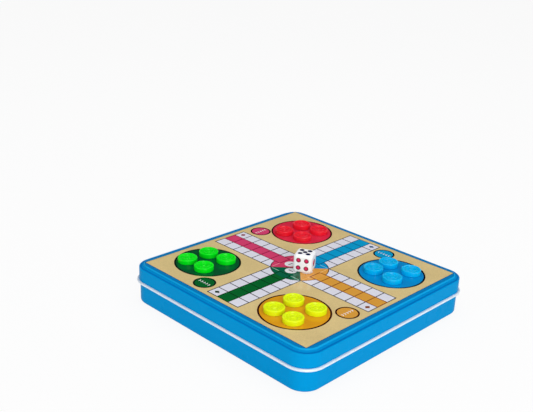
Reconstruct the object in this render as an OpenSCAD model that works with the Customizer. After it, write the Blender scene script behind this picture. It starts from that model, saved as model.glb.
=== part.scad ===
// Magnetic ludo set in a hinged tinplate box: the printed lid is the board.
// Millimetres, +Z up, origin on the table under the middle of the box, hinge at +Y.

/* [Tin] */
// Side of the square lid, over its flat walls
lid_side = 196; // [180:1:230]
// Radius of the lid's upright corners
corner_r = 16; // [14:1:22]
// Height of the closed box from the table to the board
box_h = 33; // [31:1:40]
// Height of the middle of the lid's rolled edge above the table
bead_z = 19; // [17:0.5:20]
// Outside radius of the lid's rolled edge
bead_r = 1.1; // [1.1:0.05:1.3]
// Thickness of the tinplate
sheet_t = 0.3; // [0.28:0.01:0.32]
// Gap between the lid's wall and the base's wall
slip_gap = 0.6; // [0.55:0.05:0.8]

/* [Lid steps] */
// Width of the ledge and wall top round the raised board
ledge_w = 3.7; // [3.2:0.1:4.2]
// Drop from the board to the ledge
ledge_drop = 2; // [1.8:0.1:2.6]
// Radius of the board's drawn edge
top_round = 1.3; // [0.9:0.1:1.4]

/* [Hinge] */
// Distance of each hinge from the middle of the rear side
hinge_x = 48; // [35:1:60]
// Length of each rolled knuckle
knuckle_l = 22; // [14:1:26]
// Radial running clearance of the knuckles on the wire
wire_gap = 0.05; // [0.03:0.01:0.08]

/* [Counters] */
// Diameter of a counter
counter_d = 16.2; // [15.5:0.1:17]
// Height of a counter
counter_h = 4.2; // [4:0.1:5]
// Diameter of the magnet under a counter
magnet_d = 10; // [8:0.5:11]
// Thickness of the magnet
magnet_h = 1.5; // [1.2:0.1:1.8]
// Distance of the home circles' centres from the middle, the longer way
home_far = 57; // [56:0.5:58]
// Distance of the home circles' centres from the middle, the shorter way
home_near = 50.3; // [49:0.1:52]
// Spread of the counters about the middle of their home circle
home_spread = 1; // [0.95:0.01:1.05]

/* [Dice] */
// Side of a die
die_a = 15.5; // [14:0.5:16]
// Radius of the die's rounded edges
die_edge = 2.2; // [1.8:0.1:2.6]
// Diameter of an ordinary pip
pip_d = 3.4; // [2.8:0.1:3.6]
// Diameter of the single large pip
pip_one_d = 5.4; // [4.6:0.1:5.8]

/* [Hidden] */
COLOURS = ["green", "yellow", "blue", "red"];
$fn = 48;

tin_blue = [0.03, 0.52, 0.80];
tin_bare = [0.86, 0.88, 0.92];
ink = [[0.04, 0.85, 0.10], [0.88, 0.93, 0.08], [0.03, 0.62, 0.90], [0.88, 0.08, 0.15]];

// All upright corners of the lid and base share four axes at this distance from the middle
core = lid_side / 2 - corner_r;
half_t = sheet_t / 2;
bore_r = bead_r - sheet_t;
wire_r = bore_r - wire_gap;
// The wall ends a little above the bead's middle, inside the rolled sheet
tuck = 0.3;
bead_u = corner_r + 0.75;
base_r = corner_r - sheet_t - slip_gap;
// Measures of the base's pressed bottom
foot_r = 2.3;
panel_rise = 0.8;
panel_u = base_r - 8.6;
foot_u = panel_u + 1.5;
// Measures of the base's inward rolled rim, just under the lid's ledge
rim_r = 0.8;
rim_z = box_h - ledge_drop - sheet_t - rim_r - 0.15;
rim_u = base_r - sheet_t - 0.42;
// Measures of the lid's steps
riser_u = corner_r - ledge_w;
ledge_round = 0.8;
ledge_fillet = 0.3;
panel_lid_u = 8;

function arc(c, r, a0, a1, n = 6) =
  [for (i = [0:n]) c + r * [cos(a0 + (a1 - a0) * i / n), sin(a0 + (a1 - a0) * i / n)]];
function unit(v) = v / norm(v);
function left_of(v) = [-v[1], v[0]];
// Normal of a path at point i, from its two neighbours
function normal_at(p, i) =
  left_of(unit(unit(p[min(i + 1, len(p) - 1)] - p[i == len(p) - 1 ? i - 1 : i])
    + unit(p[i == 0 ? 1 : i] - p[max(i - 1, 0)])));
function shifted(p, d) = [for (i = [0:len(p) - 1]) p[i] + d * normal_at(p, i)];
function backwards(p) = [for (i = [len(p) - 1:-1:0]) p[i]];

// Flat section of sheet metal of thickness t along a path
module strip(path, t) {
  polygon(concat(shifted(path, t / 2), backwards(shifted(path, -t / 2))));
}

// Section of a rolled edge
module rolled(u, z, r) {
  translate([u, z]) difference() {
    circle(r);
    circle(r - sheet_t);
  }
}

// Carries a section round the box: x is the distance out from the corner axes, y the height
module round_box() {
  for (k = [0:3]) rotate(90 * k) translate([core, core, 0]) {
    rotate_extrude(angle = 90) children();
    rotate([90, 0, 0]) linear_extrude(2 * core) children();
  }
}

// Square of side a with corners of radius r
module soft_square(a, r) {
  e = a / 2 - r;
  union() {
    square([a, 2 * e], center = true);
    square([2 * e, a], center = true);
    for (x = [-e, e]) for (y = [-e, e]) translate([x, y]) circle(r);
  }
}

// Plate that ends u beyond the corner axes
module plate(u, z, t) {
  translate([0, 0, z]) linear_extrude(t) soft_square(2 * (core + u), u);
}

// Base tray: pressed foot ring, wall and a rim rolled inwards
module tin_base() {
  path = concat([[panel_u, panel_rise + half_t], [foot_u, half_t]],
    arc([base_r - foot_r, foot_r], foot_r - half_t, -90, 0),
    [[base_r - half_t, rim_z - tuck]]);
  color(tin_blue) union() {
    round_box() strip(path, sheet_t);
    round_box() rolled(rim_u, rim_z, rim_r);
    plate(panel_u + 0.2, panel_rise, sheet_t);
  }
}

// Lid: the flat board, a riser, a ledge and the wall, ending in an edge rolled outwards
module tin_lid() {
  top = box_h - half_t;
  ledge = box_h - ledge_drop - half_t;
  path = concat([[panel_lid_u, top]],
    arc([riser_u - top_round, box_h - top_round], top_round - half_t, 90, 0),
    arc([riser_u - half_t + ledge_fillet, ledge + ledge_fillet], ledge_fillet, 180, 270, 4),
    arc([corner_r - ledge_round, ledge + half_t - ledge_round], ledge_round - half_t, 90, 0),
    [[corner_r - half_t, bead_z + tuck]]);
  color(tin_blue) difference() {
    union() {
      round_box() strip(path, sheet_t);
      round_box() rolled(bead_u, bead_z, bead_r);
      plate(panel_lid_u + 1, box_h - sheet_t, sheet_t);
    }
    for (x = [-hinge_x, hinge_x]) hinge_notch(x);
  }
}

// Room for one knuckle, through the rolled edge and the foot of the lid's rear wall
module hinge_notch(x) {
  notch_l = knuckle_l + 2;
  translate([x - notch_l / 2, core + corner_r - sheet_t - 1, bead_z - 2])
    cube([notch_l, 5, 4]);
}

// Wire in the rolled edge that the two knuckles turn on
module hinge_wire() {
  wire_l = 2 * hinge_x + knuckle_l + 24;
  color(tin_bare) translate([-wire_l / 2, core + bead_u, bead_z]) rotate([0, 90, 0])
    cylinder(r = wire_r, h = wire_l);
}

// Strap welded to the base's rear wall, its top end rolled round the wire
module hinge_strap(x) {
  y0 = core + base_r + half_t;
  y1 = core + bead_u - sqrt(pow(bead_r - half_t, 2) - pow(tuck, 2));
  path = [[y0, bead_z - 11], [y0, bead_z - 2.6], [y1, bead_z - 0.9], [y1, bead_z - tuck]];
  color(tin_bare) translate([x - knuckle_l / 2, 0, 0]) rotate([90, 0, 90]) union() {
    linear_extrude(knuckle_l) strip(path, sheet_t);
    linear_extrude(knuckle_l) rolled(core + bead_u, bead_z, bead_r);
  }
}

// Middle of a counter: its home circle is turned a quarter from one colour to the next
function home(c) = [[-home_far, -home_near], [home_near, -home_far],
  [home_far, home_near], [-home_near, home_far]][c];
// Four counters stand loosely about each middle, as a hand sets them down
STANDS = [[[-12.2, -11.7], [8.1, -11.4], [8.7, 12.3], [-10.4, 9.8]],
  [[-11.5, -12.2], [8.1, -12.6], [9.5, 10.5], [-11.5, 8.6]],
  [[-13.3, -8.4], [7.9, -11.2], [9.5, 12.1], [-12.1, 10.2]],
  [[-9.3, -13.6], [10.2, -10.8], [10, 11.5], [-8.8, 8.8]]];
function counter_at(c, n) = home(c) + home_spread * STANDS[c][n - 1];

// Counter: a thick disc with a raised rim, a ring and a boss, and a magnet's seat below
module counter(c, n) {
  r = counter_d / 2;
  h = counter_h;
  soft = 0.7;
  dish = 0.7;
  at = counter_at(c, n);
  color(ink[c]) translate([at[0], at[1], box_h]) difference() {
    rotate_extrude() polygon(concat([[0, 0], [r - 0.3, 0], [r, 0.3]],
      arc([r - soft, h - soft], soft, 0, 90),
      [[r - 1.6, h], [r - 2.1, h - dish], [r - 3.2, h - dish], [r - 3.5, h - 0.25],
       [r - 4.3, h - 0.25], [r - 4.6, h - dish], [2.1, h - dish], [1.7, h - 0.25], [0, h - 0.1]]));
    translate([0, 0, -1]) cylinder(d = magnet_d + 0.1, h = 1 + magnet_h + 0.05);
  }
}

// Disc magnet glued in a counter's seat
module magnet(c, n) {
  at = counter_at(c, n);
  color([0.45, 0.46, 0.48]) translate([at[0], at[1], box_h + 0.05])
    cylinder(d = magnet_d, h = magnet_h);
}

// Pips of one face: 1 to 6, in steps from the face's middle
PIPS = [[[0, 0]], [[-1, -1], [1, 1]], [[-1, -1], [0, 0], [1, 1]],
  [[-1, -1], [1, -1], [-1, 1], [1, 1]], [[-1, -1], [1, -1], [0, 0], [-1, 1], [1, 1]],
  [[-1, -1.25], [-1, 0], [-1, 1.25], [1, -1.25], [1, 0], [1, 1.25]]];
pip_step = 0.213 * die_a;

module pips(n) {
  one = n == 1;
  d = one ? pip_one_d : pip_d;
  sink = one ? 1 : 0.7;
  ball = (d * d / 4 + sink * sink) / (2 * sink);
  for (p = PIPS[n - 1])
    translate([p[0] * pip_step, p[1] * pip_step, die_a / 2 + ball - sink]) sphere(ball);
}

module die_bar() {
  translate([0, 0, -die_a / 2]) linear_extrude(die_a) soft_square(die_a, die_edge);
}

// Die with the named faces up, to the front and to the right; opposite faces add up to seven.
// Its edges are rounded along all three directions and a ball trims its corners
module die(up, front, side) {
  color("white") translate([0, 0, die_a / 2]) difference() {
    intersection() {
      die_bar();
      rotate([90, 0, 0]) die_bar();
      rotate([0, 90, 0]) die_bar();
      sphere(r = 0.735 * die_a);
    }
    pips(up);
    rotate([180, 0, 0]) pips(7 - up);
    rotate([90, 0, 0]) pips(front);
    rotate([-90, 0, 0]) pips(7 - front);
    rotate([0, 90, 0]) pips(side);
    rotate([0, -90, 0]) pips(7 - side);
  }
}

// Where the two dice lie
board_die = [4.5, 0.5];
board_die_turn = 27.9;
stored_die = [-80, -80];

module die_on_board() {
  translate([board_die[0], board_die[1], box_h]) rotate(board_die_turn) die(5, 4, 1);
}

module die_in_tin() {
  translate([stored_die[0], stored_die[1], panel_rise + sheet_t]) die(1, 5, 4);
}

tin_base();
tin_lid();
hinge_wire();
hinge_strap(-hinge_x);  // hinge_strap_left
hinge_strap(hinge_x);  // hinge_strap_right
for (c = [0:3]) for (n = [1:4]) {
  counter(c, n);
  magnet(c, n);
}
die_on_board();
die_in_tin();
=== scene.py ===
import math

import bpy
import numpy as np
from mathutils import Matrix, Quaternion, Vector
from mathutils.geometry import delaunay_2d_cdt


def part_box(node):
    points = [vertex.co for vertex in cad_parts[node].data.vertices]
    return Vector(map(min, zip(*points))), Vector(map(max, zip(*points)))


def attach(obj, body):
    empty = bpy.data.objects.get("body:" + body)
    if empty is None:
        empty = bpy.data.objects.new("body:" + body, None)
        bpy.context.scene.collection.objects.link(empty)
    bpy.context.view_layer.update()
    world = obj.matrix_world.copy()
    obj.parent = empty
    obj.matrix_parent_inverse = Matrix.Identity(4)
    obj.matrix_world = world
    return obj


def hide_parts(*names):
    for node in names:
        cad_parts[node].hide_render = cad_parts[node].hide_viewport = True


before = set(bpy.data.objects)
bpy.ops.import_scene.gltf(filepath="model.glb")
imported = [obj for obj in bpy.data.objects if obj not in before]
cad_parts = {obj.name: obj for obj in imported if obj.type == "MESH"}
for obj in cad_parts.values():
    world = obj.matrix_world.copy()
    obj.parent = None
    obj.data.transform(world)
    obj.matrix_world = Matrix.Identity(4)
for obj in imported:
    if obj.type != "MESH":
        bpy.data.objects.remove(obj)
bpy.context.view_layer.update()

MM = 0.001

# The camera stands in front of the box's near corner, a little above it.
# It is turned a touch about its own axis, as the photographer held it.
camera_at = Vector((0.3984, -0.4483, 0.3135))
camera_aim = Vector((-0.1431, 0.1041, 0.0200))
camera_roll = math.radians(2.27)
picture_w, picture_h = 533, 412
focal_px = 801.3
sensor_mm = 36
camera_data = bpy.data.cameras.new("camera")
camera_data.sensor_width = sensor_mm
camera_data.lens = focal_px * sensor_mm / picture_w
camera_data.clip_start, camera_data.clip_end = 0.02, 50
camera = bpy.data.objects.new("camera", camera_data)
bpy.context.collection.objects.link(camera)
camera.location = camera_at
camera.rotation_mode = "QUATERNION"
camera.rotation_quaternion = (camera_aim - camera_at).to_track_quat("-Z", "Y") \
    @ Quaternion((0, 0, 1), camera_roll)
bpy.context.scene.camera = camera
bpy.context.scene.view_settings.view_transform = "Standard"


# Plain soft studio light: a pale world, a broad lamp overhead, a stronger one on the
# right and a weaker one on the front left. Mirrored, the white backdrop ends above the
# horizon, under a dark ceiling, so that varnish and lacquer keep their depth.
def shader_node(tree, kind, inputs=(), **settings):
    """One shader node with its settings; an input is given a value or another node's output."""
    made = tree.nodes.new("ShaderNode" + kind)
    for name, value in settings.items():
        setattr(made, name, value)
    for name, value in dict(inputs).items():
        if isinstance(value, bpy.types.NodeSocket):
            tree.links.new(value, made.inputs[name])
        else:
            made.inputs[name].default_value = value
    return made


world = bpy.data.worlds.new("studio")
bpy.context.scene.world = world
world.use_nodes = True
tree = world.node_tree
tree.nodes.clear()
path = shader_node(tree, "LightPath")
place = shader_node(tree, "TexCoord")
way = shader_node(tree, "SeparateXYZ", {0: place.outputs["Generated"]})
light_level, ceiling_level = 0.52, 0.03
backdrop_rise, ceiling_rise = 0.08, 0.24  # sine of the angle above the horizon
mirrored = shader_node(tree, "MapRange", {
    "Value": way.outputs["Z"], "From Min": backdrop_rise, "From Max": ceiling_rise,
    "To Min": 1.0, "To Max": ceiling_level})
level = shader_node(tree, "Mix", {0: path.outputs["Is Glossy Ray"], 2: light_level,
                                  3: mirrored.outputs[0]})
seen = shader_node(tree, "Math", {0: path.outputs["Is Camera Ray"],
                                  1: path.outputs["Is Transmission Ray"]}, operation="MAXIMUM")
level = shader_node(tree, "Math", {0: level.outputs[0], 1: seen.outputs[0]}, operation="MAXIMUM")
sky = shader_node(tree, "Background", {"Color": (1, 1, 1, 1), "Strength": level.outputs[0]})
shader_node(tree, "OutputWorld", {"Surface": sky.outputs[0]})


def soft_lamp(name, place, aim, size, power):
    """A square area lamp at place, facing aim."""
    data = bpy.data.lights.new(name, "AREA")
    data.shape, data.size, data.energy = "SQUARE", size, power
    lamp = bpy.data.objects.new(name, data)
    bpy.context.collection.objects.link(lamp)
    lamp.location = place
    lamp.rotation_mode = "QUATERNION"
    lamp.rotation_quaternion = (Vector(aim) - Vector(place)).to_track_quat("-Z", "Y")
    lamp.visible_camera = False


box_middle = (0, 0, 0.03)
soft_lamp("lamp_above", (0.1, 0.2, 1.3), box_middle, size=1.2, power=5.5)
soft_lamp("lamp_right", (1.2, -0.75, 0.5), box_middle, size=1.0, power=11.5)
soft_lamp("lamp_left", (-0.5, -1.3, 0.7), box_middle, size=1.0, power=1.6)


# The floor is a pale sheet that runs white into the background and keeps a soft shadow.
# It is one flat square, far larger than the picture.
def new_piece(name, corners, faces):
    """A mesh of these corners and faces as an object in the scene."""
    mesh = bpy.data.meshes.new(name)
    mesh.from_pydata(corners, [], faces)
    made = bpy.data.objects.new(name, mesh)
    bpy.context.collection.objects.link(made)
    return made


floor_half = 6.0
floor_glow = 0.9  # how much of the floor's look is plain white, the rest takes the shadow
floor = new_piece("floor", [(-floor_half, -floor_half, 0), (floor_half, -floor_half, 0),
                            (floor_half, floor_half, 0), (-floor_half, floor_half, 0)], [(0, 1, 2, 3)])
paper = bpy.data.materials.new("floor_paper")
paper.use_nodes = True
tree = paper.node_tree
tree.nodes.clear()
path = shader_node(tree, "LightPath")
seen = shader_node(tree, "Math", {0: path.outputs["Is Camera Ray"], 1: path.outputs["Is Glossy Ray"]},
                   operation="MAXIMUM")
share = shader_node(tree, "Math", {0: seen.outputs[0], 1: floor_glow}, operation="MULTIPLY")
sheet = shader_node(tree, "BsdfDiffuse", {"Color": (0.86, 0.86, 0.87, 1)})
glow = shader_node(tree, "Emission", {"Color": (1, 1, 1, 1), "Strength": 1.0})
both = shader_node(tree, "MixShader", {0: share.outputs[0], 1: sheet.outputs[0], 2: glow.outputs[0]})
shader_node(tree, "OutputMaterial", {"Surface": both.outputs[0]})
floor.data.materials.append(paper)


# Tin base: a tray pressed from tinplate, lacquered glossy blue outside and left bright
# inside. The CAD mesh stays; the finish tells the two sides apart by its normals.
def rgb(r, g, b):
    """A colour picked as eight-bit sRGB, as the linear colour that sockets take."""
    return tuple(((c / 255 + 0.055) / 1.055) ** 2.4 if c > 10 else c / 3295 for c in (r, g, b)) + (1,)


def value_group(name, inputs, outputs):
    """An empty shader group with named sockets, each given as (name, socket type, default)."""
    group = bpy.data.node_groups.new(name, "ShaderNodeTree")
    for label, kind, default in inputs:
        made = group.interface.new_socket(label, in_out="INPUT", socket_type="NodeSocket" + kind)
        if default is not None:
            made.default_value = default
    for label, kind in outputs:
        group.interface.new_socket(label, in_out="OUTPUT", socket_type="NodeSocket" + kind)
    return group, group.nodes.new("NodeGroupInput"), group.nodes.new("NodeGroupOutput")


# A film of lacquer or ink: slow changes of depth, faint mottling and a fine orange peel.
film, given, result = value_group(
    "lacquer_film",
    [("Colour", "Color", (0.5, 0.5, 0.5, 1)), ("Mottle", "Float", 0.05), ("Gloss", "Float", 0.3),
     ("Peel", "Float", 0.1)],
    [("Colour", "Color"), ("Roughness", "Float"), ("Normal", "Vector")])
place = shader_node(film, "TexCoord")
slow = shader_node(film, "TexNoise", {"Vector": place.outputs["Object"], "Scale": 35, "Detail": 3})
fine = shader_node(film, "TexNoise", {"Vector": place.outputs["Object"], "Scale": 900, "Detail": 2})
blend = shader_node(film, "Math", {0: slow.outputs["Fac"], 1: fine.outputs["Fac"]}, operation="ADD")
swing = shader_node(film, "MapRange", {"Value": blend.outputs[0], "From Min": 0.6, "From Max": 1.4,
                                       "To Min": -1, "To Max": 1})
swing = shader_node(film, "Math", {0: swing.outputs[0], 1: given.outputs["Mottle"]}, operation="MULTIPLY")
depth = shader_node(film, "Math", {0: swing.outputs[0], 1: 1.0}, operation="ADD")
tint = shader_node(film, "VectorMath", {0: given.outputs["Colour"], "Scale": depth.outputs[0]},
                   operation="SCALE")
film.links.new(tint.outputs[0], result.inputs["Colour"])
rough = shader_node(film, "Math", {0: slow.outputs["Fac"], 1: 0.12, 2: given.outputs["Gloss"]},
                    operation="MULTIPLY_ADD")
film.links.new(rough.outputs[0], result.inputs["Roughness"])
peel = shader_node(film, "Bump", {"Strength": given.outputs["Peel"], "Distance": 0.0001,
                                  "Height": fine.outputs["Fac"]})
film.links.new(peel.outputs[0], result.inputs["Normal"])

# Rolled sheet or drawn wire: fine streaks along the axis on which Stretch is small.
grain, given, result = value_group(
    "rolled_grain", [("Stretch", "Vector", (60, 2500, 2500)), ("Depth", "Float", 0.15)],
    [("Streak", "Float"), ("Roughness", "Float"), ("Normal", "Vector")])
place = shader_node(grain, "TexCoord")
streak = shader_node(grain, "VectorMath", {0: place.outputs["Object"], 1: given.outputs["Stretch"]},
                     operation="MULTIPLY")
lines = shader_node(grain, "TexNoise", {"Vector": streak.outputs[0], "Scale": 1.0, "Detail": 3})
grain.links.new(lines.outputs["Fac"], result.inputs["Streak"])
rough = shader_node(grain, "MapRange", {"Value": lines.outputs["Fac"], "To Min": 0.2, "To Max": 0.42})
grain.links.new(rough.outputs[0], result.inputs["Roughness"])
dent = shader_node(grain, "Bump", {"Strength": given.outputs["Depth"], "Distance": 0.0001,
                                   "Height": lines.outputs["Fac"]})
grain.links.new(dent.outputs[0], result.inputs["Normal"])

# Which side of a pressed tray or lid a point is on: 1 inside, 0 outside. The inside faces the
# opening, upwards or downwards, or back towards the middle of the box.
side, given, result = value_group("tin_side", [("Opens", "Float", 1.0)], [("Inside", "Float")])
place = shader_node(side, "TexCoord")
facing = shader_node(side, "SeparateXYZ", {0: place.outputs["Normal"]})
flat_place = shader_node(side, "VectorMath", {0: place.outputs["Object"], 1: (1, 1, 0)},
                         operation="MULTIPLY")
outward = shader_node(side, "VectorMath", {0: flat_place.outputs[0]}, operation="NORMALIZE")
lean = shader_node(side, "VectorMath", {0: place.outputs["Normal"], 1: outward.outputs[0]},
                   operation="DOT_PRODUCT")
inward = shader_node(side, "Math", {0: lean.outputs["Value"], 1: -0.1}, operation="LESS_THAN")
along = shader_node(side, "Math", {0: facing.outputs["Z"], 1: given.outputs["Opens"]},
                    operation="MULTIPLY")
level_face = shader_node(side, "Math", {0: along.outputs[0], 1: 0.3}, operation="GREATER_THAN")
either = shader_node(side, "Math", {0: inward.outputs[0], 1: level_face.outputs[0]}, operation="MAXIMUM")
side.links.new(either.outputs[0], result.inputs["Inside"])


def film_material(name, colour, mottle, gloss, peel, shine):
    """A Principled material whose colour, roughness and normal come from the lacquer film."""
    material = bpy.data.materials.new(name)
    material.use_nodes = True
    tree = material.node_tree
    surface = tree.nodes["Principled BSDF"]
    coatings = shader_node(tree, "Group", {"Colour": colour, "Mottle": mottle, "Gloss": gloss,
                                           "Peel": peel}, node_tree=film)
    tree.links.new(coatings.outputs["Colour"], surface.inputs["Base Color"])
    tree.links.new(coatings.outputs["Roughness"], surface.inputs["Roughness"])
    tree.links.new(coatings.outputs["Normal"], surface.inputs["Normal"])
    surface.inputs["Specular IOR Level"].default_value = shine
    return material


wall_blue = rgb(4, 147, 209)
# Pale tin colours; their faint blue tint is a painted reflection of the blue lacquer round them.
tin_bright = rgb(214, 226, 236)
tin_pale = rgb(226, 236, 246)
inside_metal, pale_metal = 0.65, 0.2


def tin_material(name, opens, paint=None):
    """Blue lacquer outside and bright tin inside, on the side that opens upwards (1) or down (-1).

    paint, where given, adds its nodes to the tree. It returns the lacquer's colour, with any painted
    shade and highlight in it, and a mask of the outside that is left as pale tin.
    """
    material = film_material(name, wall_blue, mottle=0.015, gloss=0.22, peel=0.04, shine=0.012)
    tree = material.node_tree
    surface = tree.nodes["Principled BSDF"]
    coatings = surface.inputs["Base Color"].links[0].from_node
    outside, pale = paint(tree) if paint else (wall_blue, 0.0)
    bare = shader_node(tree, "Group", {"Opens": opens}, node_tree=side).outputs["Inside"]
    sheet = shader_node(tree, "Group", {"Stretch": (20, 1600, 1600), "Depth": 0.012}, node_tree=grain)
    rough = shader_node(tree, "Mix", {0: bare, 2: coatings.outputs["Roughness"],
                                      3: sheet.outputs["Roughness"]})
    tree.links.new(rough.outputs[0], surface.inputs["Roughness"])
    normal = shader_node(tree, "Mix", {0: bare, 4: coatings.outputs["Normal"],
                                       5: sheet.outputs["Normal"]}, data_type="VECTOR")
    tree.links.new(normal.outputs[1], surface.inputs["Normal"])
    finish = shader_node(tree, "MixRGB", {0: bare, 1: outside, 2: tin_bright})
    finish = shader_node(tree, "MixRGB", {0: pale, 1: finish.outputs[0], 2: tin_pale})
    tree.links.new(finish.outputs[0], coatings.inputs["Colour"])
    metal = shader_node(tree, "Math", {0: bare, 1: inside_metal}, operation="MULTIPLY")
    metal = shader_node(tree, "Mix", {0: pale, 2: metal.outputs[0], 3: pale_metal})
    tree.links.new(metal.outputs[0], surface.inputs["Metallic"])
    return material


def dress(node, material):
    """Gives a CAD node its finish without touching its mesh."""
    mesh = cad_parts[node].data
    mesh.materials.clear()
    mesh.materials.append(material)


dress("tin_base", tin_material("base_lacquer", 1.0))

# Tin lid: a drawn cap with a riser and a ledge round the flat board, its edge rolled outwards
# so that the bright inner side of the sheet shows as a pale bead. The blue carries painted light:
# painted shade on the flat margin and on the ledge in front of the riser, a painted highlight on the
# riser's top bend.
lid_low, lid_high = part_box("tin_lid")
board_z = lid_high[2]
bead_r = 1.1 * MM
bead_z = lid_low[2] + bead_r
core = 82 * MM
bead_u = lid_high[0] - bead_r - core
bead_skin = 0.06 * MM
# Painted light on the lid's blue: bands of painted shade and one painted highlight.
PAINTED_LIGHT_BANDS = [  # reach past the core square, height, full within, gone beyond (mm), colour
    # painted shade on the flat margin beyond the print
    (9.6, 33.0, 1.3, 2.6, rgb(3, 120, 184)),
    # painted highlight on the riser's top bend
    (12.0, 32.7, 0.3, 0.9, rgb(16, 158, 216)),
    # painted shade on the ledge in front of the riser
    (14.4, 31.0, 0.3, 1.4, rgb(0, 110, 186)),
]


def lid_paint(tree):
    """The lid's colour with its painted shade and painted highlight, told by the place in the wall's cross
    section, and the mask of its bead.

    The place is the distance past the core square, whose sides are 2 * core, and the height.
    """
    place = shader_node(tree, "TexCoord").outputs["Object"]
    beyond = shader_node(tree, "VectorMath", {0: place}, operation="ABSOLUTE")
    for step, value in (("SUBTRACT", (core, core, 0)), ("MAXIMUM", (0, 0, 0)), ("MULTIPLY", (1, 1, 0))):
        beyond = shader_node(tree, "VectorMath", {0: beyond.outputs[0], 1: value}, operation=step)
    reach = shader_node(tree, "VectorMath", {0: beyond.outputs[0]}, operation="LENGTH")
    height = shader_node(tree, "SeparateXYZ", {0: place})
    spot = shader_node(tree, "CombineXYZ", {0: reach.outputs["Value"], 1: height.outputs["Z"]})
    tone = wall_blue
    # Each band mixes in painted shade or a painted highlight, full near its place and fading out beyond.
    for u, z, near, far, shade in PAINTED_LIGHT_BANDS:
        away = shader_node(tree, "VectorMath", {0: spot.outputs[0], 1: (u * MM, z * MM, 0)},
                           operation="DISTANCE")
        mask = shader_node(tree, "MapRange", {"Value": away.outputs["Value"], "From Min": near * MM,
                                              "From Max": far * MM, "To Min": 1.0, "To Max": 0.0})
        tone = shader_node(tree, "MixRGB", {0: mask.outputs[0], 1: tone, 2: shade}).outputs[0]
    away = shader_node(tree, "VectorMath", {0: spot.outputs[0], 1: (bead_u, bead_z, 0)},
                       operation="DISTANCE")
    rolled = shader_node(tree, "Math", {0: away.outputs["Value"], 1: bead_r + bead_skin},
                         operation="LESS_THAN")
    return tone, rolled.outputs[0]


dress("tin_lid", tin_material("lid_lacquer", -1.0, lid_paint))


# Hinge: a drawn steel wire lies in the rear rolled edge, and two straps welded to the base
# wrap round it. All are bright tinned steel with a fine drawn grain.
def steel_material(name, tone, grain_axis):
    """Bright steel whose roughness and bump run in fine streaks along grain_axis."""
    material = bpy.data.materials.new(name)
    material.use_nodes = True
    tree = material.node_tree
    surface = tree.nodes["Principled BSDF"]
    stretch = tuple(60 if axis == grain_axis else 2500 for axis in range(3))
    drawn = shader_node(tree, "Group", {"Stretch": stretch}, node_tree=grain)
    shade = shader_node(tree, "MixRGB", {0: drawn.outputs["Streak"], 1: tone, 2: rgb(235, 238, 242)})
    surface.inputs["Metallic"].default_value = 1.0
    tree.links.new(shade.outputs[0], surface.inputs["Base Color"])
    tree.links.new(drawn.outputs["Roughness"], surface.inputs["Roughness"])
    tree.links.new(drawn.outputs["Normal"], surface.inputs["Normal"])
    return material


strap_steel = steel_material("strap_steel", rgb(190, 194, 200), 2)
dress("hinge_wire", steel_material("wire_steel", rgb(176, 180, 186), 0))
for node in ("hinge_strap_left", "hinge_strap_right"):
    dress(node, strap_steel)

# Board print: inks laid on the lid's flat top. The whole sheet is cut along every printed
# outline, and each scrap takes the ink of the topmost shape over it, so no two inks overlap.
# One arm is drawn and turned a quarter for each colour; its circles have their own places.
print_half = 90.0  # all lengths in mm, an arm drawn as the one that points to -Y
arm_half = 17.0
lane_half = 6.0
arm_end = 85.3
cell_count = 6
pitch = (arm_end - arm_half) / cell_count
line_w = 0.9
line_half = line_w / 2
frame_w = 0.5
disc_r, disc_ring = 24.3, 0.7
home_r, home_ring = 27.7, 1.5
start_r, start_ring = 9.2, 1.4
mark_r = 4.9
tick_half = 0.3
TICKS = ((-15.2, -7.2), (6.0, 14.8))
HOME_AT = {"green": (-57.4, -50.2), "orange": (-57.9, -48.9), "blue": (-55.9, -50.0),
           "crimson": (-57.7, -51.3)}
START_AT = {"green": (-30.0, -77.2), "orange": (-29.9, -76.0), "blue": (-28.3, -76.2),
            "crimson": (-29.8, -76.4)}
MARK_AT = {"green": (-0.9, -9.6), "orange": (-0.5, -8.2), "blue": (0.9, -8.6), "crimson": (0.5, -10.0)}
INKS = {
    "beige": rgb(219, 195, 138),
    "cell": rgb(226, 226, 238),
    "line": rgb(46, 44, 60),
    "green": rgb(0, 98, 40), "green_dark": rgb(0, 22, 16), "green_line": rgb(0, 56, 24),
    "green_home": rgb(0, 84, 44), "green_core": rgb(0, 98, 68), "green_tick": rgb(176, 226, 206),
    "orange": rgb(220, 158, 62), "orange_dark": rgb(64, 18, 8), "orange_line": rgb(134, 64, 24),
    "orange_home": rgb(222, 154, 26), "orange_core": rgb(226, 160, 70), "orange_tick": rgb(246, 204, 136),
    "blue": rgb(0, 156, 208), "blue_dark": rgb(0, 20, 38), "blue_line": rgb(0, 78, 124),
    "blue_home": rgb(0, 140, 208), "blue_core": rgb(0, 146, 206), "blue_tick": rgb(140, 214, 240),
    "crimson": rgb(214, 64, 112), "crimson_dark": rgb(62, 0, 16), "crimson_line": rgb(140, 20, 58),
    "crimson_home": rgb(220, 40, 70), "crimson_core": rgb(214, 64, 106), "crimson_tick": rgb(244, 156, 172),
    "frame": rgb(0, 72, 118),
    "white": rgb(238, 238, 242),
    "grey": rgb(96, 98, 108),
}


def rectangle(x0, y0, x1, y1):
    """The four corners, anticlockwise."""
    return np.array([(x0, y0), (x1, y0), (x1, y1), (x0, y1)], float)


def disc(x, y, r):
    """Points at equal angles on a circle."""
    steps = 96
    angle = 2 * math.pi * np.arange(steps) / steps
    return np.stack([x + r * np.cos(angle), y + r * np.sin(angle)], 1)


def wedge(r):
    """The quarter of the middle disc that opens to -Y: its arc and its tip."""
    angle = math.pi * (np.linspace(0, 0.5, 25) - 0.75)
    return np.concatenate([np.stack([r * np.cos(angle), r * np.sin(angle)], 1), [(0, 0)]])


def turned(points, quarter):
    """The points turned about the board's middle by that many quarter turns."""
    c, s = round(math.cos(quarter * math.pi / 2)), round(math.sin(quarter * math.pi / 2))
    return points @ np.array([[c, s], [-s, c]])


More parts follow.
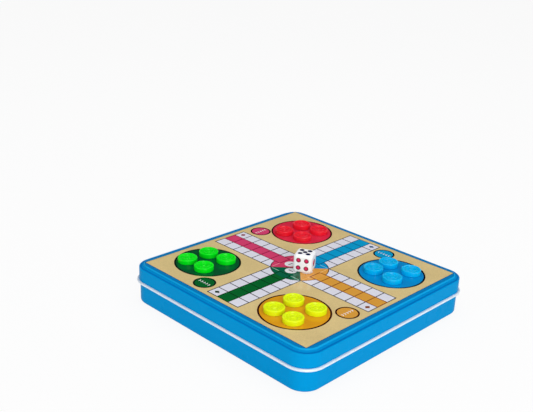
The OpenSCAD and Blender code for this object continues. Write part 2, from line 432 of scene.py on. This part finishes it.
def arm_shapes():
    """The black ground of the arm that points to -Y, with two columns of pale cells on it."""
    shapes = [("line", rectangle(-arm_half - line_half, -arm_end - line_half, arm_half + line_half, 0))]
    for y in -arm_end + pitch * np.arange(cell_count):
        for x0, x1 in ((-arm_half, -lane_half), (lane_half, arm_half)):
            shapes.append(("cell", rectangle(x0 + line_half, y + line_half,
                                             x1 - line_half, y + pitch - line_half)))
    return shapes


def lane_shapes(colour):
    """The coloured home lane, its cell lines and the part of the centre disc that it flares into."""
    side_x = lane_half - line_half
    top = -arm_half - line_half
    shapes = [(colour + "_dark", wedge(disc_r)), (colour + "_core", wedge(disc_r - disc_ring)),
              (colour + "_line", rectangle(-lane_half - line_half, -arm_end - line_half,
                                           lane_half + line_half, -arm_half + line_half))]
    for y in -arm_end + pitch * np.arange(cell_count):
        shapes.append((colour, rectangle(-side_x, y + line_half, side_x, y + pitch - line_half)))
    x = np.linspace(-side_x, side_x, 9)
    arc = np.stack([x, -np.sqrt((disc_r - disc_ring) ** 2 - x ** 2)], 1)
    shapes.append((colour + "_core", np.concatenate([arc, [(side_x, top), (-side_x, top)]])))
    return shapes


def home_shapes(colour):
    """The home circle, the start disc with five chevrons, and the marks near the middle."""
    home, start, mark = (np.array(at[colour]) for at in (HOME_AT, START_AT, MARK_AT))
    shapes = [(colour + "_dark", disc(*home, home_r)), (colour + "_home", disc(*home, home_r - home_ring)),
              (colour + "_dark", disc(*start, start_r)), (colour, disc(*start, start_r - start_ring))]
    chevron = np.array([(-0.9, -1.2), (0, -1.2), (0.9, 0), (0, 1.2), (-0.9, 1.2), (0, 0)])
    shapes += [("white", chevron + start + (2.7 * step, 0)) for step in range(-2, 3)]
    shapes += [("white", disc(*mark, mark_r)), ("grey", rectangle(-2.5, -0.5, 2.5, 0.5) + mark)]
    shapes += [(colour + "_tick", rectangle(x0, -arm_half - tick_half, x1, -arm_half + tick_half))
               for x0, x1 in TICKS]
    glyph = np.array([(-2.6, 0), (0, -2.1), (2.6, 0), (0, 2.1)])
    shapes.append((colour + "_line", glyph + (-11.6, -80.2)))
    return shapes


inner_half = print_half - frame_w
shapes = [("frame", rectangle(-print_half, -print_half, print_half, print_half)),
          ("beige", rectangle(-inner_half, -inner_half, inner_half, inner_half))]
arms = list(enumerate(("green", "orange", "blue", "crimson")))
shapes += [(ink, turned(points, quarter)) for quarter, _ in arms for ink, points in arm_shapes()]
for draw in (lane_shapes, home_shapes):
    for quarter, colour in arms:
        shapes += [(ink, turned(points, quarter)) for ink, points in draw(colour)]

corners = np.concatenate([points for _, points in shapes])
ends = np.cumsum([len(points) for _, points in shapes])
faces = [list(range(end - len(points), end)) for end, (_, points) in zip(ends.tolist(), shapes)]
inside_only, snap = 1, 1e-4
cut_corners, _, cut_faces, _, _, owners = delaunay_2d_cdt(corners.tolist(), [], faces,
                                                          inside_only, snap, True)
# A scrap's owners are the shapes over it, and the last one drawn is the topmost.
ink_of = [shapes[max(owner)][0] if owner else None for owner in owners]
ink_t = 0.02
sheet_points = np.pad(np.array(cut_corners) * MM, ((0, 0), (0, 1)), constant_values=board_z + ink_t * MM)
for ink, colour in INKS.items():
    scraps = np.array([face for face, owner in zip(cut_faces, ink_of) if owner == ink])
    used, scraps = np.unique(scraps, return_inverse=True)
    scraps = scraps.reshape(-1, 3)
    points = sheet_points[used]
    a, b, c = (points[scraps[:, i]] for i in range(3))
    upside_down = np.cross(b - a, c - a)[:, 2] < 0
    scraps[upside_down] = scraps[upside_down][:, ::-1]
    piece = new_piece("print_" + ink, points.tolist(), scraps.tolist())
    mottle = 0.12 if ink == "beige" else 0.05
    piece.data.materials.append(
        film_material("ink_" + ink, colour, mottle, gloss=0.05, peel=0.02, shine=0.32))
    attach(piece, "lid")


# Counters: thick moulded discs with a raised rim, a ring and a boss on top, and a magnet's
# seat below. Each is a profile turned about its own axis.
def bend(x, y, r, a0, a1, count=8):
    """Points of an arc of radius r about (x, y), from angle a0 to a1 in degrees."""
    angle = np.radians(np.linspace(a0, a1, count))
    return np.stack([x + r * np.cos(angle), y + r * np.sin(angle)], 1)


def lathe_piece(name, profile, place, turns=96):
    """A closed solid of revolution: profile is (radius, height) from the axis below to the axis above."""
    radius, height = profile[1:-1].T
    angle = 2 * math.pi * np.arange(turns) / turns
    x = place[0] + radius[:, None] * np.cos(angle)
    y = place[1] + radius[:, None] * np.sin(angle)
    z = np.broadcast_to(place[2] + height[:, None], x.shape)
    grid = np.stack([x, y, z], 2).reshape(-1, 3)
    rings = len(radius)
    row, col = np.meshgrid(np.arange(rings - 1), np.arange(turns), indexing="ij")
    nxt = (col + 1) % turns
    quads = np.stack([row * turns + col, row * turns + nxt, (row + 1) * turns + nxt,
                      (row + 1) * turns + col], 2).reshape(-1, 4)
    points = np.concatenate([grid, [(place[0], place[1], place[2] + profile[0, 1]),
                                    (place[0], place[1], place[2] + profile[-1, 1])]])
    ring = np.arange(turns)
    after = (ring + 1) % turns
    last = (rings - 1) * turns
    caps = np.concatenate([np.stack([np.full(turns, len(grid)), after, ring], 1),
                           np.stack([np.full(turns, len(grid) + 1), last + ring, last + after], 1)])
    piece = new_piece(name, (points * MM).tolist(), quads.tolist() + caps.tolist())
    piece.data.shade_smooth()
    return piece


r, h, soft = 8.1, 4.2, 0.8
foot = ink_t + 0.01  # the pieces on the board stand just clear of its ink
dish, raised = h - 0.85, h - 0.25
profile = np.concatenate([
    [(0, 1.55), (5.0, 1.55), (5.05, 1.5), (5.05, foot + 0.05), (5.1, foot)],
    [(r - 0.45, foot)], bend(r - 0.35, foot + 0.35, 0.35, -80, 0, 5),
    bend(r - soft, h - soft, soft, 0, 90, 10), bend(r - 1.55, h - 0.2, 0.2, 90, 160, 4),
    bend(r - 2.15, dish + 0.2, 0.2, 340, 270, 4), bend(r - 3.1, dish + 0.2, 0.2, 270, 200, 4),
    bend(r - 3.45, raised - 0.15, 0.15, 20, 160, 6), bend(r - 4.15, raised - 0.15, 0.15, 20, 90, 3)[2:],
    bend(r - 4.5, raised - 0.15, 0.15, 90, 160, 4), bend(r - 4.8, dish + 0.15, 0.15, 340, 270, 4),
    bend(2.2, dish + 0.15, 0.15, 270, 200, 4), bend(1.75, raised - 0.15, 0.15, 20, 90, 4), [(0, h - 0.15)]])


def plastic_material(name, colour, deep):
    """Moulded plastic: a glowing colour that deepens in slow clouds, with a fine satin skin."""
    material = film_material(name, colour, mottle=0.05, gloss=0.1, peel=0.03, shine=0.28)
    surface = material.node_tree.nodes["Principled BSDF"]
    surface.inputs["Subsurface Weight"].default_value = 0.25
    surface.inputs["Subsurface Radius"].default_value = deep
    surface.inputs["Subsurface Scale"].default_value = 0.001
    return material


PLASTICS = {
    "green": plastic_material("plastic_green", rgb(0, 232, 26), (0.2, 1.0, 0.3)),
    "yellow": plastic_material("plastic_yellow", rgb(228, 248, 16), (1.0, 1.0, 0.3)),
    "blue": plastic_material("plastic_blue", rgb(0, 184, 240), (0.2, 0.7, 1.0)),
    "red": plastic_material("plastic_red", rgb(240, 30, 52), (1.0, 0.3, 0.3)),
}
for colour, plastic in PLASTICS.items():
    for number in range(1, 5):
        name = f"counter_{colour}_{number}"
        low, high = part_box(name)
        middle = [(low[0] + high[0]) / 2 / MM, (low[1] + high[1]) / 2 / MM, low[2] / MM]
        piece = lathe_piece(name + "_turned", profile, middle)
        piece.data.materials.append(plastic)
        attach(piece, name)
        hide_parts(name)

# Magnets: sintered ferrite discs glued in the counters' seats, dark grey and a little gritty.
ferrite = film_material("magnet_ferrite", rgb(62, 62, 66), mottle=0.3, gloss=0.45, peel=0.5, shine=0.3)
for colour in PLASTICS:
    for number in range(1, 5):
        dress(f"magnet_{colour}_{number}", ferrite)

# Dice: polished white blocks with soft edges. The single pip and the four are painted red,
# the others navy, each in a shallow round dimple, with painted shade darkening each pip's rim.
PIPS = {
    1: [(0, 0)], 2: [(-1, -1), (1, 1)], 3: [(-1, -1), (0, 0), (1, 1)],
    4: [(-1, -1), (1, -1), (-1, 1), (1, 1)], 5: [(-1, -1), (1, -1), (0, 0), (-1, 1), (1, 1)],
    6: [(-1, -1.25), (-1, 0), (-1, 1.25), (1, -1.25), (1, 0), (1, 1.25)],
}
pip_step = 3.3
die_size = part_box("die_in_tin")
die_half = (die_size[1][0] - die_size[0][0]) / 2 / MM
die_edge = 2.2
die_ball = 1.47 * die_half
PIP, PIP_ONE = (1.8, 0.75), (2.7, 1.0)  # radius and depth


def outline_reach(p, q):
    """How far the rounded square reaches along (p, q): a straight side, or the arc at its corner."""
    p, q = np.abs(p), np.abs(q)
    inner = die_half - die_edge
    straight = die_half / np.maximum(np.maximum(p, q), 1e-9)
    square = np.maximum(p * p + q * q, 1e-9)
    along = (p + q) * inner
    arc = (along + np.sqrt(np.maximum(along ** 2 - square * (2 * inner ** 2 - die_edge ** 2), 0))) / square
    return np.where(np.minimum(p, q) * straight <= inner, straight, arc)


def die_piece(name, up, front, side_face, place, turn, count=72):
    """Six square grids blown out from the middle to the die's skin; each dimple is a ball's cap.

    Along a direction, the skin lies at the nearest of three rounded-square bars and one ball.
    """
    line = np.linspace(-die_half, die_half, count + 1)
    u, v = np.meshgrid(line, line, indexing="ij")
    faces = [  # number, direction out, direction of u, direction of v
        (up, (0, 0, 1), (1, 0, 0), (0, 1, 0)), (7 - up, (0, 0, -1), (1, 0, 0), (0, -1, 0)),
        (front, (0, -1, 0), (1, 0, 0), (0, 0, 1)), (7 - front, (0, 1, 0), (1, 0, 0), (0, 0, -1)),
        (side_face, (1, 0, 0), (0, 1, 0), (0, 0, 1)), (7 - side_face, (-1, 0, 0), (0, -1, 0), (0, 0, 1))]
    points, quads, paint, red = [], [], [], []
    for number, out, along_u, along_v in faces:
        out, along_u, along_v = (np.array(d, float) for d in (out, along_u, along_v))
        ray = u[..., None] * along_u + v[..., None] * along_v + die_half * out
        ray /= np.linalg.norm(ray, axis=2, keepdims=True)
        x, y, z = ray[..., 0], ray[..., 1], ray[..., 2]
        reach = np.minimum.reduce([outline_reach(x, y), outline_reach(y, z), outline_reach(x, z),
                                   np.full(x.shape, die_ball)])
        solid = ray * reach[..., None]
        radius, sink = PIP_ONE if number == 1 else PIP
        ball = (radius ** 2 + sink ** 2) / (2 * sink)
        edge = np.full(u.shape, -9.0)
        down = np.zeros(u.shape)
        for pu, pv in PIPS[number]:
            far = np.hypot(solid @ along_u - pu * pip_step, solid @ along_v - pv * pip_step)
            edge = np.maximum(edge, radius - far)
            cap = np.sqrt(np.maximum(ball ** 2 - far ** 2, 0)) - (ball - sink)
            down = np.maximum(down, cap)
        solid = solid - down[..., None] * out
        first = sum(len(block) for block in points)
        points.append(solid.reshape(-1, 3))
        paint.append(edge.ravel())
        red.append(np.full(edge.size, 1.0 if number in (1, 4) else 0.0))
        row, col = np.meshgrid(np.arange(count), np.arange(count), indexing="ij")
        n = count + 1
        quads.append(first + np.stack([row * n + col, (row + 1) * n + col, (row + 1) * n + col + 1,
                                       row * n + col + 1], 2).reshape(-1, 4))
    points, quads = np.concatenate(points), np.concatenate(quads)
    paint, red = np.concatenate(paint), np.concatenate(red)
    _, kept, merged = np.unique(points.round(5), axis=0, return_index=True, return_inverse=True)
    points, paint, red, quads = points[kept], paint[kept], red[kept], merged.ravel()[quads]
    points[:, 2] = np.maximum(points[:, 2], foot - die_half)
    c, s = math.cos(turn), math.sin(turn)
    points = points @ np.array([[c, s, 0], [-s, c, 0], [0, 0, 1]]) + place
    piece = new_piece(name, (points * MM).tolist(), quads.tolist())
    for label, values in (("pip_edge", paint), ("pip_red", red)):
        piece.data.attributes.new(label, "FLOAT", "POINT").data.foreach_set("value", values)
    piece.data.shade_smooth()
    return piece


die_white = rgb(250, 251, 255)
# The darker navy and cherry are painted shade for the rim of each pip's dimple.
navy, shaded_navy = rgb(8, 4, 84), rgb(4, 0, 40)
cherry, shaded_cherry = rgb(234, 46, 104), rgb(112, 0, 34)
dice_white = film_material("dice_white", die_white, mottle=0.01, gloss=0.12, peel=0.03, shine=0.14)
tree = dice_white.node_tree
coatings = tree.nodes["Principled BSDF"].inputs["Base Color"].links[0].from_node
edge = shader_node(tree, "Attribute", attribute_name="pip_edge")
painted = shader_node(tree, "MapRange", {"Value": edge.outputs["Fac"],
                                         "From Min": -0.25, "From Max": -0.12})
kind = shader_node(tree, "Attribute", attribute_name="pip_red")
# Each pip is painted darker at its rim than in its middle: painted shade of its dimple.
pip_rim_shade = shader_node(tree, "MixRGB", {0: kind.outputs["Fac"], 1: shaded_navy, 2: shaded_cherry})
paint = shader_node(tree, "MixRGB", {0: kind.outputs["Fac"], 1: navy, 2: cherry})
spread = shader_node(tree, "MapRange", {"Value": edge.outputs["Fac"], "From Min": 0.2, "From Max": 1.0})
paint = shader_node(tree, "MixRGB", {0: spread.outputs[0], 1: pip_rim_shade.outputs[0], 2: paint.outputs[0]})
colour = shader_node(tree, "MixRGB", {0: painted.outputs[0], 1: die_white, 2: paint.outputs[0]})
tree.links.new(colour.outputs[0], coatings.inputs["Colour"])
paint_rough = 0.5
polish = shader_node(tree, "Mix", {0: painted.outputs[0], 2: coatings.outputs["Roughness"],
                                   3: paint_rough})
tree.links.new(polish.outputs[0], tree.nodes["Principled BSDF"].inputs["Roughness"])

# The numbers are those on top, in front and on the right.
for name, numbers, turn in (("die_on_board", (5, 4, 1), math.radians(27.9)),
                            ("die_in_tin", (1, 5, 4), 0.0)):
    low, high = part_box(name)
    middle = np.array([(low[0] + high[0]) / 2, (low[1] + high[1]) / 2, (low[2] + high[2]) / 2]) / MM
    piece = die_piece(name + "_polished", *numbers, middle, turn)
    piece.data.materials.append(dice_white)
    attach(piece, name)
    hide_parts(name)
